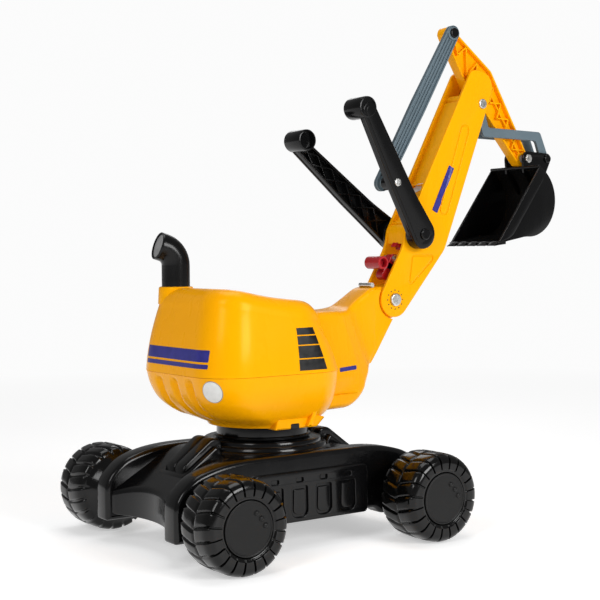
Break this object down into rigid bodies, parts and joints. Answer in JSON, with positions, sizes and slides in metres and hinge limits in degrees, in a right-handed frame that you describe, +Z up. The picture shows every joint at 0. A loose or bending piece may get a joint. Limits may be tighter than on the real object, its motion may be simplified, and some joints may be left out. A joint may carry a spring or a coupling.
{
  "type": "ride on digger",
  "caption": "Child's ride-on toy digger on wheels with a slewing seat body, lever-worked boom, dipper and bucket.",
  "frame": {"origin": "bottom centre of the bounding box, on the ground", "axes": "+X forward along the boom, +Y to the driver's left, +Z up"},
  "size_m": [0.7992, 0.43, 0.765],
  "materials": {
    "yellow_plastic": "glossy moulded plastic",
    "black_plastic": "semi-gloss moulded plastic",
    "black_lever_plastic": "satin moulded plastic",
    "wheel_plastic": "glossy blow-moulded plastic",
    "hubcap_plastic": "matt moulded plastic",
    "grey_plastic": "satin moulded plastic",
    "red_plastic": "glossy moulded plastic",
    "steel": "zinc plated"
  },
  "bodies": {
    "chassis": {"chassis_shell": "black_plastic", "front_axle": "steel", "rear_axle": "steel", "axle_push_nuts": "steel", "axle_spacers": "black_plastic", "slew_bolt": "steel", "slew_nut": "steel", "slew_washer": "steel"},
    "superstructure": {"slew_collar": "black_plastic", "slew_bush": "black_plastic", "body_lower_tub": "yellow_plastic", "body_upper_shell": "yellow_plastic", "neck": "yellow_plastic", "boom_foot_bush": "black_plastic", "lock_stop_pin": "steel", "exhaust_pipe": "black_plastic", "exhaust_end_disc": "grey_plastic", "boom_foot_bolt": "steel", "boom_foot_nut": "steel"},
    "boom": {"boom": "yellow_plastic", "lever_left": "black_lever_plastic", "lever_pivot_bolt": "steel", "lever_pivot_nut": "steel", "link_pivot_bolt": "steel", "link_pivot_nut": "steel", "dipper_pivot_pin": "steel", "lock_pivot_pin": "steel"},
    "right_lever": {"lever_right": "black_lever_plastic", "rod_lower_bolt": "steel", "rod_lower_spacer": "grey_plastic", "rod_lower_nut": "steel"},
    "push_rod": {"push_rod": "grey_plastic"},
    "dipper": {"dipper": "yellow_plastic", "rod_upper_bolt": "black_plastic", "rod_upper_nut": "steel"},
    "bucket_links": {"link_right": "grey_plastic", "link_left": "grey_plastic"},
    "bucket": {"bucket": "black_plastic", "bucket_hinge_bolt": "steel", "bucket_hinge_nut": "steel", "bucket_hinge_spacers": "grey_plastic", "link_end_pin": "black_plastic"},
    "lock_lever": {"lock_lever": "red_plastic", "lock_spring": "steel"},
    "wheel_front_left": {"wheel_front_left": "wheel_plastic", "hubcap_front_left": "hubcap_plastic"},
    "wheel_front_right": {"wheel_front_right": "wheel_plastic", "hubcap_front_right": "hubcap_plastic"},
    "wheel_rear_left": {"wheel_rear_left": "wheel_plastic", "hubcap_rear_left": "hubcap_plastic"},
    "wheel_rear_right": {"wheel_rear_right": "wheel_plastic", "hubcap_rear_right": "hubcap_plastic"}
  },
  "joints": [
    {"name": "slew", "type": "hinge", "parent": "chassis", "child": "superstructure", "pos_m": [-0.1739, 0, 0.15], "axis": [0, 0, 1], "continuous": true},
    {"name": "boom_raise", "type": "hinge", "parent": "superstructure", "child": "boom", "pos_m": [0.0571, 0, 0.334], "axis": [0, -1, 0], "range_deg": [-65, 6]},
    {"name": "lock_release", "type": "hinge", "parent": "boom", "child": "lock_lever", "pos_m": [0.0701, 0, 0.396], "axis": [0, 1, 0], "range_deg": [0, 22], "stiffness_Nm_per_rad": 0.5, "springref_deg": -8.59},
    {"name": "dig_lever", "type": "hinge", "parent": "boom", "child": "right_lever", "pos_m": [0.0991, -0.035, 0.434], "axis": [0, -1, 0], "range_deg": [-4, 30]},
    {"name": "rod_swing", "type": "hinge", "parent": "right_lever", "child": "push_rod", "pos_m": [0.0391, -0.015, 0.512], "axis": [0, -1, 0], "range_deg": [-29.73, 4.31]},
    {"name": "dipper_swing", "type": "hinge", "parent": "boom", "child": "dipper", "pos_m": [0.2411, 0, 0.67], "axis": [0, -1, 0], "range_deg": [-4.38, 30.27]},
    {"name": "bucket_curl", "type": "hinge", "parent": "dipper", "child": "bucket", "pos_m": [0.3461, 0, 0.56], "axis": [0, -1, 0], "range_deg": [-3.99, 27.32]},
    {"name": "link_swing", "type": "hinge", "parent": "boom", "child": "bucket_links", "pos_m": [0.2411, 0, 0.644], "axis": [0, -1, 0], "range_deg": [-5.27, 36.91]},
    {"name": "wheel_spin_front_left", "type": "hinge", "parent": "chassis", "child": "wheel_front_left", "pos_m": [-0.0109, 0.1715, 0.0627], "axis": [0, 1, 0], "continuous": true},
    {"name": "wheel_spin_front_right", "type": "hinge", "parent": "chassis", "child": "wheel_front_right", "pos_m": [-0.0109, -0.1715, 0.0627], "axis": [0, 1, 0], "continuous": true},
    {"name": "wheel_spin_rear_left", "type": "hinge", "parent": "chassis", "child": "wheel_rear_left", "pos_m": [-0.3369, 0.1715, 0.0627], "axis": [0, 1, 0], "continuous": true},
    {"name": "wheel_spin_rear_right", "type": "hinge", "parent": "chassis", "child": "wheel_rear_right", "pos_m": [-0.3369, -0.1715, 0.0627], "axis": [0, 1, 0], "continuous": true}
  ],
  "couplings": [
    {"joint": "rod_swing", "follows": "dig_lever", "ratio": -0.97758},
    {"joint": "dipper_swing", "follows": "dig_lever", "ratio": 0.99555},
    {"joint": "bucket_curl", "follows": "dig_lever", "ratio": 0.89731},
    {"joint": "link_swing", "follows": "dig_lever", "ratio": 1.2169}
  ]
}
